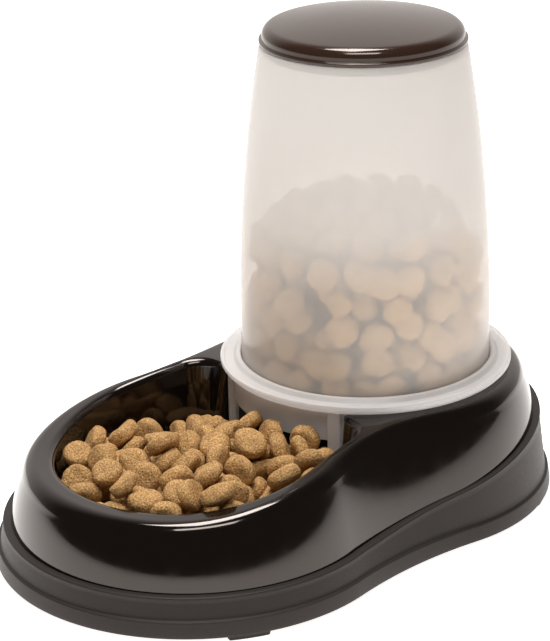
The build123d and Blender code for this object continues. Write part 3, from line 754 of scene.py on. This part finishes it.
def settle(pieces, colliders, frames):
    """Drops the pieces as rigid bodies inside the colliders and returns their matrices.
    Everything is in centimetres, and all that the solver needs is removed after it."""
    scene = bpy.context.scene
    gravity = scene.gravity.copy()
    scene.gravity = (0.0, 0.0, -400.0)
    bpy.ops.rigidbody.world_add()
    world = scene.rigidbody_world
    world.substeps_per_frame = 16
    world.solver_iterations = 24
    world.point_cache.frame_end = frames + 2
    for group, kind in ((pieces, "ACTIVE"), (colliders, "PASSIVE")):
        bpy.ops.object.select_all(action="DESELECT")
        for o in group:
            o.select_set(True)
        bpy.context.view_layer.objects.active = group[0]
        bpy.ops.rigidbody.objects_add(type=kind)
        for o in group:
            body = o.rigid_body
            body.collision_shape = "CONVEX_HULL" if kind == "ACTIVE" else "MESH"
            body.use_margin = True
            body.collision_margin = 0.01
            body.friction = 0.85
            body.restitution = 0.0
            if kind == "ACTIVE":
                body.mass = 0.01
                body.linear_damping = 0.25
                body.angular_damping = 0.35
    for number in range(1, frames + 1):
        scene.frame_set(number)
    graph = bpy.context.evaluated_depsgraph_get()
    found = [np.array(o.evaluated_get(graph).matrix_world) for o in pieces]
    bpy.ops.rigidbody.world_remove()
    for o in [*pieces, *colliders]:
        mesh = o.data
        bpy.data.objects.remove(o)
        bpy.data.meshes.remove(mesh)
    scene.gravity = gravity
    scene.frame_set(1)
    return found


def sim_object(name, points, faces):
    """Short-lived mesh for the settling, in centimetres."""
    mesh = bpy.data.meshes.new(name)
    mesh.from_pydata((points * SIM_SCALE).tolist(), [], faces.tolist())
    o = bpy.data.objects.new(name, mesh)
    bpy.context.scene.collection.objects.link(o)
    return o


def bowl_pile(rng):
    """Where each piece of food in the bowl lies: dropped through the bowl's mouth onto the
    fed layer and left to settle. Returns rotations and places in millimetres."""
    count = sizes().kibble_count
    radius, height = sizes().kibble_radius / MM, sizes().kibble_height / MM
    around, up = HULL_GRID
    hull = pillow_points(np.random.default_rng(1), around, up,
                         radius * HULL_WIDER, height * HULL_THICKER)
    hull_faces = grid_faces(up, around, False, True)
    y = CAVITY[:, 1]
    rise = []
    for z in (20.0, 30.0, 40.0, 50.0, 70.0, 130.0):
        grow = BOWL_LEAN * (min(z, 70.0) - RIM_FRONT_Z)
        rise.append(raised(CAVITY + CAVITY_NORMAL * grow, z))
    wall_points = np.vstack(rise)
    wall_faces = grid_faces(len(rise), len(CAVITY), False, True)[:, ::-1]
    walls = sim_object("sim_walls", wall_points, wall_faces)
    g = np.linspace(-75.0, 75.0, 31)
    h = np.linspace(FRONT_Y - 75.0, 40.0, 41)
    gx, gy = np.meshgrid(g, h, indexing="ij")
    # a bell-shaped heap right of the middle, bare towards the left rear, up to the gate
    heap = np.exp(-((gx - 14.0)**2 + (gy - FRONT_Y + 2.0)**2) / 38.0**2)
    mound = 18.5 + 8.0 * heap
    bare = np.clip((-gx - 5.0) / 30.0, 0.0, 1.0) * np.clip((gy - FRONT_Y + 20.0) / 30.0, 0.0, 1.0)
    mound = mound - 9.0 * bare
    mound = mound + np.clip((gy - BOWL_REAR_Y + 36.0) / 30.0, 0.0, 1.0) * 13.0
    ground = sim_object("sim_ground", np.stack([gx, gy, mound], -1).reshape(-1, 3),
                        grid_faces(31, 41, False, False))
    a = np.radians(np.linspace(-90.0 - GATE_HALF_ANGLE - 6.0, -90.0 + GATE_HALF_ANGLE + 6.0, 25))
    gate = []
    for z in (GATE_EDGE_Z - 3.0, 150.0):
        gate.append(np.stack([DRUM_RADIUS * np.cos(a), AXIS_Y + DRUM_RADIUS * np.sin(a),
                              z + 0 * a], -1))
    gate_wall = sim_object("sim_gate", np.vstack(gate), grid_faces(2, 25, False, False))
    # upright sheet behind the gate, so that nothing rolls into the throat
    dam = np.array([[-60, 12, 10], [60, 12, 10], [60, 12, 150], [-60, 12, 150]], float)
    dam_wall = sim_object("sim_dam", dam, np.array([[0, 1, 2, 3]]))

    pieces = []
    layer, placed = 0, 0
    step = 2.25 * radius
    while placed < count:
        z = 62.0 + layer * 12.0
        xs = np.arange(-52.0, 53.0, step) + rng.uniform(-2, 2)
        ys = np.arange(FRONT_Y - 50.0, BOWL_REAR_Y - 12.0, step) + rng.uniform(-2, 2)
        spots = [(x, v) for x in xs for v in ys if math.hypot(x - 12.0, v - FRONT_Y + 2.0) < 46.0]
        rng.shuffle(spots)
        for x, v in spots:
            if placed == count:
                break
            size = rng.uniform(0.92, 1.06)
            o = sim_object(f"sim_{placed}", hull * size, hull_faces)
            turn = tumble(rng, 0.35)
            spot = Matrix.Translation(Vector((x, v, z)) * SIM_SCALE)
            o.matrix_world = spot @ Matrix(turn.tolist()).to_4x4()
            pieces.append((o, size))
            placed += 1
        layer += 1
    found = settle([o for o, _ in pieces], [walls, ground, gate_wall, dam_wall], PILE_FRAMES)
    return [(m[:3, :3], m[:3, 3] / SIM_SCALE, size) for m, (_, size) in zip(found, pieces)]


def pile_piece(name, rng, poses, columns, rows):
    """One mesh of many pieces of food, each with its own lumps."""
    radius, height = sizes().kibble_radius / MM, sizes().kibble_height / MM
    faces = grid_faces(rows, columns, False, True)
    parts = []
    for turn, spot, size in poses:
        points = pillow_points(rng, columns, rows, radius, height) * size
        parts.append((points @ np.array(turn).T + spot, faces))
    return new_piece(name, parts, 60.0)


class FEEDER_OT_stage(bpy.types.Operator):
    """Floor, studio light and camera"""

    bl_idname = "feeder.stage"
    bl_label = "Stage"

    def execute(self, context):
        scene = context.scene
        scene.view_settings.view_transform = "Standard"
        mesh = bpy.data.meshes.new("floor")
        wide = 6.0
        mesh.from_pydata([(-wide, -wide, 0), (wide, -wide, 0), (wide, wide, 0), (-wide, wide, 0)],
                         [], [(0, 1, 2, 3)])
        floor = bpy.data.objects.new("floor", mesh)
        scene.collection.objects.link(floor)
        paper = new_material("matte white paper sweep")
        point = object_point(paper)
        tooth = noise(paper, point, 2.0, 2.0).outputs["Fac"]
        shader = add_node(paper, "ShaderNodeBsdfPrincipled",
                          [(bump_from(paper, tooth, 0.02, 0.1), "Normal")],
                          in_Base_Color=linear("F7F6F5"), in_Roughness=0.9, in_Specular_IOR_Level=0.1,
                          in_Emission_Color=(1.0, 0.97, 0.94, 1.0), in_Emission_Strength=1.0)
        finish_surface(paper, shader.outputs["BSDF"])
        mesh.materials.append(paper)

        # studio room: bright behind the feeder and to its left, dim in front of it
        world = bpy.data.worlds.new("studio")
        scene.world = world
        world.use_nodes = True
        tree = world.node_tree
        tree.nodes.clear()
        way = tree.nodes.new("ShaderNodeTexCoord")
        far = tree.nodes.new("ShaderNodeVectorMath")
        far.operation = "DOT_PRODUCT"
        far.inputs[1].default_value = (-0.76, 0.65, 0.0)
        tree.links.new(way.outputs["Generated"], far.inputs[0])
        ramp = tree.nodes.new("ShaderNodeMapRange")
        ramp.interpolation_type = "SMOOTHSTEP"
        for key, value in (("From Min", 0.1), ("From Max", 0.85), ("To Min", 0.07), ("To Max", 1.0)):
            ramp.inputs[key].default_value = value
        tree.links.new(far.outputs["Value"], ramp.inputs["Value"])
        sky = tree.nodes.new("ShaderNodeBackground")
        sky.inputs["Color"].default_value = (1.0, 0.94, 0.90, 1.0)
        tree.links.new(ramp.outputs["Result"], sky.inputs["Strength"])
        out = tree.nodes.new("ShaderNodeOutputWorld")
        tree.links.new(sky.outputs["Background"], out.inputs["Surface"])

        def softbox(name, power, width, depth, spot, aim, tint=(1.0, 0.98, 0.95)):
            light = bpy.data.lights.new(name, "AREA")
            light.shape = "RECTANGLE"
            light.energy, light.size, light.size_y, light.color = power, width, depth, tint
            lamp = bpy.data.objects.new(name, light)
            lamp.location = spot
            lamp.rotation_euler = (Vector(aim) - Vector(spot)).to_track_quat("-Z", "Y").to_euler()
            scene.collection.objects.link(lamp)

        softbox("overhead softbox", 19.0, 0.6, 0.5, (-0.1, 0.0, 1.35), (0.0, 0.0, 0.1))
        softbox("front softbox", 8.0, 0.7, 0.3, (0.62, -0.53, 1.25), (0.0, 0.0, 0.1))

        target = Vector(CAMERA_TARGET) * MM
        distance, azimuth, elevation, roll = CAMERA_DISTANCE * MM, 49.72, 21.59, -1.24
        a, e = math.radians(azimuth), math.radians(elevation)
        back = Vector((math.sin(a) * math.cos(e), -math.cos(a) * math.cos(e), math.sin(e)))
        right = (-back).cross(Vector((0, 0, 1))).normalized()
        up = right.cross(-back)
        tilt = math.radians(roll)
        side = right * math.cos(tilt) + up * math.sin(tilt)
        head = up * math.cos(tilt) - right * math.sin(tilt)
        turn = Matrix((side, head, back)).transposed().to_4x4()
        data = bpy.data.cameras.new("camera")
        data.sensor_width = 36.0
        data.lens = FOCAL_LENGTH / FRAME_HEIGHT * data.sensor_width
        camera = bpy.data.objects.new("camera", data)
        camera.matrix_world = Matrix.Translation(target + back * distance) @ turn
        scene.collection.objects.link(camera)
        scene.camera = camera
        return {"FINISHED"}


class FEEDER_OT_shell(bpy.types.Operator):
    """Glossy base shell with the bowl, the throat and the well"""

    bl_idname = "feeder.shell"
    bl_label = "Base shell"

    def execute(self, context):
        piece = new_piece("gloss_base", [loop_grid(shell_rings())])
        place(piece, gloss_abs("gloss moulded ABS, near-black brown", looks().shell, 0.09),
              "base", "gloss_shell", "base_shell")
        return {"FINISHED"}


class FEEDER_OT_skirt(bpy.types.Operator):
    """Soft skirt round the foot, and the pads under it"""

    bl_idname = "feeder.skirt"
    bl_label = "Skirt and pads"

    def execute(self, context):
        piece = new_piece("soft_skirt_band", [loop_grid(skirt_rings())])
        place(piece, soft_tpe("spark-textured TPE, charcoal", looks().skirt),
              "base", "soft_skirt", "base_skirt")
        rubber = soft_tpe("moulded rubber, near black", looks().pads)
        for end, y in (("front", FRONT_Y), ("rear", AXIS_Y)):
            for side in ("right", "left"):
                name = f"foot_pad_{end}_{side}"
                low, high = (np.array(v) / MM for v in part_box(name))
                across, along = (low[0] + high[0]) / 2, (low[1] + high[1]) / 2 - y
                middle = math.degrees(math.atan2(along, across))
                radius = (FRONT_RADIUS if end == "front" else REAR_RADIUS) - PAD_EDGE
                part = arc_block(radius - PAD_WIDTH, radius, middle, PAD_SPAN,
                                 0.0, high[2], y, 0.35)
                pad = new_piece(f"pad_{end}_{side}", [part])
                place(pad, rubber, "base", "foot_pads", name)
        return {"FINISHED"}


class FEEDER_OT_collar(bpy.types.Operator):
    """Translucent feed collar: flange, drum with the gate cut, ribs beside the gate"""

    bl_idname = "feeder.collar"
    bl_label = "Feed collar"

    def execute(self, context):
        top = collar_high[2] - 1.2
        seat = PLATFORM_Z + SEAT_GAP
        bore = DRUM_RADIUS - DRUM_WALL
        lip = HOPPER_FOOT_RADIUS + 0.6
        under = top + 0.3 - LIP_DEPTH
        ring = rounded([
            (SHELF_RADIUS, SHELF_Z - 2.0, 0.4), (SHELF_RADIUS, SHELF_Z, 0.4), (bore, SHELF_Z, 0.3),
            (bore, under, 0.3), (lip, under, 0.4), (lip, top + 1.2, 0.6),
            (lip + 2.2, top + 1.0, 0.7), (lip + 3.6, top - 0.9, 0.8),
            (FLANGE_RADIUS - 2.4, top - 0.9, 0.6), (FLANGE_RADIUS - 1.7, top, 0.4),
            (FLANGE_RADIUS, top, 0.7), (FLANGE_RADIUS, top - 2.4, 0.9),
            (FLANGE_RADIUS - 2.0, seat, 0.5), (bore, seat, 0.4), (bore, SHELF_Z - 2.0, 0.3)], 6)
        # extra columns stand on both sides of each gate edge, so that its step is upright
        a = np.linspace(-90.0, 270.0, 240, endpoint=False)
        edge = GATE_HALF_ANGLE
        a = np.sort(np.concatenate([a, [-90.0 - edge + 360.0, -90.0 - edge + 360.02,
                                        -90.0 + edge, -90.0 + edge + 0.02]]))
        off = np.abs((a + 90.0 + 180.0) % 360.0 - 180.0)
        rad = np.radians(a)
        y_out = AXIS_Y + DRUM_RADIUS * np.sin(rad)
        ramp = floor_z(y_out) + 1.07
        low = np.where(off <= edge + 0.005, GATE_EDGE_Z, np.maximum(ramp, BOWL_FLOOR_Z + 1.0))

        def circle(radius, z):
            return np.stack([radius * np.cos(rad), AXIS_Y + radius * np.sin(rad), z + 0 * rad], -1)

        high = seat - 0.02
        drum = [circle(DRUM_RADIUS, high)]
        for t in (0.25, 0.5, 0.75):
            drum.append(circle(DRUM_RADIUS, high + (low - high) * t))
        drum += [circle(DRUM_RADIUS, low + 0.35), circle(DRUM_RADIUS - 0.35, low),
                 circle(bore + 0.35, low), circle(bore, low + 0.35), circle(bore, high)]
        parts = [turned(ring, 240), loop_grid(drum)]
        for side in (-1, 1):
            middle = -90.0 + side * (GATE_HALF_ANGLE + 2.5)
            parts.append(arc_block(DRUM_RADIUS - 0.9, DRUM_RADIUS + 2.6, middle, 5.0,
                                   BOWL_FLOOR_Z + 1.2, seat + 0.1, AXIS_Y, 0.12))
        piece = new_piece("collar_ring", parts)
        place(piece, frosted_pp("clear-natural polypropylene, satin", looks().collar, 0.3, 0.05, 0.3),
              "collar", "clear_collar", "feed_collar")
        return {"FINISHED"}


class FEEDER_OT_hopper(bpy.types.Operator):
    """Frosted hopper with its three lugs"""

    bl_idname = "feeder.hopper"
    bl_label = "Hopper"

    def execute(self, context):
        foot, top = hopper_low[2], hopper_high[2]
        z = np.concatenate([np.linspace(foot + 0.4, HOPPER_BARREL_Z, 6),
                            np.linspace(HOPPER_BARREL_Z, top - 0.6, 48)[1:]])
        outer = np.stack([hopper_profile(z), z], 1)
        inner = np.stack([hopper_profile(z, HOPPER_WALL), z], 1)[::-1]
        edge = hopper_profile(np.array([top]))[0]
        section = np.vstack([
            [[hopper_profile(np.array([foot]))[0] - 0.4, foot]], outer,
            [[edge - 0.15, top - 0.15], [edge - 0.6, top],
             [edge - 1.0, top], [edge - 1.45, top - 0.15]],
            inner, [[HOPPER_FOOT_RADIUS - HOPPER_WALL + 0.4, foot]]])
        parts = [turned(section, 224)]
        for i in range(3):
            parts.append(arc_block(HOPPER_FOOT_RADIUS - 0.8, hopper_high[0],
                                   120.0 * i, LUG_SPAN, foot, foot + LUG_HEIGHT, AXIS_Y, 0.15))
        piece = new_piece("hopper_tube", parts)
        inside = clear_pp("polished inside of the frosted wall", 0.93)
        place(piece, frosted_pp("frosted natural polypropylene", looks().hopper, 0.5, 0.12, 0.14,
                                (118.0, 152.0), 0.25),
              "hopper", "frosted_hopper", "hopper")
        piece.data.materials.append(inside)
        mesh = piece.data
        # faces that look at the axis get the polished inner finish
        middle = np.empty(len(mesh.polygons) * 3)
        facing = np.empty(len(mesh.polygons) * 3)
        mesh.polygons.foreach_get("center", middle)
        mesh.polygons.foreach_get("normal", facing)
        middle = middle.reshape(-1, 3)[:, :2] - (0.0, AXIS_Y * MM)
        inner = (middle * facing.reshape(-1, 3)[:, :2]).sum(1) < 0.0
        mesh.polygons.foreach_set("material_index", inner.astype(np.int32))
        return {"FINISHED"}


class FEEDER_OT_lid(bpy.types.Operator):
    """Smoky glossy lid with its lip and plug ring"""

    bl_idname = "feeder.lid"
    bl_label = "Lid"

    def execute(self, context):
        seat, top = hopper_high[2] + SEAT_GAP, lid_high[2]
        rim = (lid_high[0] - lid_low[0]) / 2
        side, wall = rim - 1.4, 1.8
        shoulder, crown = 5.0, 3.4
        plug = HOPPER_TOP_RADIUS - HOPPER_WALL - 0.6
        z_mid = top - crown - shoulder
        centre = side - shoulder
        big = (centre**2 + (top - z_mid)**2 - shoulder**2) / (2 * crown)
        slope = math.atan2(z_mid - top + big, centre)

        def dome(inward):
            a = np.linspace(0.0, slope, 16)
            b = slope + (math.pi / 2 - slope) * np.linspace(0.0, 1.0, 30)[1:]**0.85
            small, large = shoulder - inward, big - inward
            near = np.stack([centre + small * np.cos(a), z_mid + small * np.sin(a)], 1)
            over = np.stack([large * np.cos(b), top - big + large * np.sin(b)], 1)
            over[-1, 0] = 0.0
            return np.vstack([near, over])

        lip = rounded([(plug, seat, 0.2), (rim, seat, 0.45), (rim, seat + 1.6, 0.5),
                       (side, seat + 1.75, 0.4), (side, z_mid - 0.1, 0.0)], 5)[:-1]
        lip = lip[5:]
        foot = [[plug - wall, z_mid - 1.0], [plug - wall, seat - 4.7], [plug - wall + 0.3, seat - 5.0],
                [plug - 0.3, seat - 5.0], [plug, seat - 4.7], [plug, seat]]
        section = np.vstack([lip, dome(0.0), dome(wall)[::-1], foot])
        piece = new_piece("lid_dome", [turned(section, 256)])
        place(piece, gloss_abs("gloss moulded ABS, smoky brown", looks().lid, 0.13, 0.25),
              "lid", "gloss_lid", "lid")
        return {"FINISHED"}


class FEEDER_OT_food(bpy.types.Operator):
    """Dry food in the bowl and in the hopper"""

    bl_idname = "feeder.food"
    bl_label = "Food"

    def execute(self, context):
        rng = np.random.default_rng(sizes().seed)
        material = baked_kibble("extruded baked kibble", looks().crust, looks().crumb)
        poses = bowl_pile(rng)
        # pieces that the bowl couldn't hold are left out
        poses = [p for p in poses if 18.0 < p[1][2] < 62.0 and p[1][1] < 18.0]
        poses.sort(key=lambda p: -p[1][2])
        piece = pile_piece("bowl_kibble", rng, poses, 20, 12)
        place(piece, material, "base", "dry_food", "bowl_food")

        radius = sizes().kibble_radius / MM
        # rings of pieces against the wall, up to a wavy top line
        spots = []
        z = food_low[2] + 15.0
        while z < 150.0:
            inner = float(hopper_profile(np.array([z]), HOPPER_WALL)[0]) - 5.6
            count = int(2 * math.pi * inner / (2.12 * radius))
            phase = rng.uniform()
            for k in range(count):
                if rng.uniform() < 0.1:
                    continue
                a = 2 * math.pi * (k + phase + rng.uniform(-0.3, 0.3)) / count
                lift = z + rng.uniform(-4.0, 4.0)
                top = 134.0 + 9.0 * math.cos(a + 0.9) + 5.0 * math.cos(2 * a)
                if lift < top:
                    spots.append((a, inner - abs(rng.normal()) * 1.2, lift))
            z += 14.0
        # a second skin of pieces behind them, then the rings of the heap's top
        for level in np.arange(food_low[2] + 20.0, 132.0, 15.0):
            count = 17
            spots += [(2 * math.pi * (k + rng.uniform(-0.3, 0.3)) / count, 45.0,
                       level + rng.uniform(-5, 5))
                      for k in range(count) if rng.uniform() < 0.8]
        for ring, height in ((44.0, 139.0), (32.0, 146.0), (19.0, 151.0), (6.0, 154.0)):
            count = max(1, int(2 * math.pi * ring / (2.0 * radius)))
            spots += [(2 * math.pi * k / count + ring, ring, height + rng.uniform(-3, 3))
                      for k in range(count)]
        hopper_poses = []
        for a, r, lift in spots:
            facing = np.array(Matrix.Rotation(a, 3, "Z")) @ np.array(
                Matrix.Rotation(math.pi / 2 + rng.normal() * 0.25, 3, "Y")) @ tumble(rng, 1.0)
            spot = np.array([r * math.cos(a), AXIS_Y + r * math.sin(a), lift])
            hopper_poses.append((facing, spot, rng.uniform(0.9, 1.05)))
        piece = pile_piece("hopper_kibble", rng, hopper_poses, 14, 8)
        # painted light: a paler copy of the food's colours, so that the pieces seen through the milky
        # wall look more brightly lit
        painted_lit_kibble = baked_kibble("extruded baked kibble, painted lighter", "CFA36C", "ECD5AC")
        # dark solid that fills the gaps between the pieces: it stands for the food deeper in the heap,
        # coloured as painted shade
        core = turned(np.array([[0.0, food_low[2] + 8.0], [41.0, food_low[2] + 8.0], [41.0, 124.0],
                                [34.0, 134.0], [20.0, 144.0], [0.0, 148.0]]), 48)
        shade_core = new_piece("hopper_kibble_painted_shade", [core])
        # painted shade: the kibble finish darkened to stand for the shade deep in the heap
        shade = baked_kibble("painted shade of the food deep in the heap", "3A2817", "5A4026")
        place(piece, painted_lit_kibble, "hopper", "dry_food", "hopper_food")
        place(shade_core, shade, "hopper", "dry_food")
        return {"FINISHED"}


class FEEDER_PT_panel(bpy.types.Panel):
    """Lists the feeder's pieces"""

    bl_label = "Gravity pet feeder"
    bl_space_type = "VIEW_3D"
    bl_region_type = "UI"
    bl_category = "Feeder"

    def draw(self, context):
        for operator in PIECES:
            self.layout.operator(operator.bl_idname)
        for group in (context.scene.feeder_sizes, context.scene.feeder_looks):
            for name in group.__annotations__:
                self.layout.prop(group, name)


PIECES = (FEEDER_OT_stage, FEEDER_OT_shell, FEEDER_OT_skirt, FEEDER_OT_collar,
          FEEDER_OT_hopper, FEEDER_OT_lid, FEEDER_OT_food)
CLASSES = (FeederLooks, FeederSizes, *PIECES, FEEDER_PT_panel)


def register():
    for item in CLASSES:
        bpy.utils.register_class(item)
    bpy.types.Scene.feeder_looks = bpy.props.PointerProperty(type=FeederLooks)
    bpy.types.Scene.feeder_sizes = bpy.props.PointerProperty(type=FeederSizes)


def unregister():
    del bpy.types.Scene.feeder_sizes
    del bpy.types.Scene.feeder_looks
    for item in reversed(CLASSES):
        bpy.utils.unregister_class(item)


def main():
    register()
    bpy.ops.feeder.stage()
    bpy.ops.feeder.shell()
    bpy.ops.feeder.skirt()
    bpy.ops.feeder.collar()
    bpy.ops.feeder.hopper()
    bpy.ops.feeder.lid()
    bpy.ops.feeder.food()


if __name__ == "__main__":
    main()
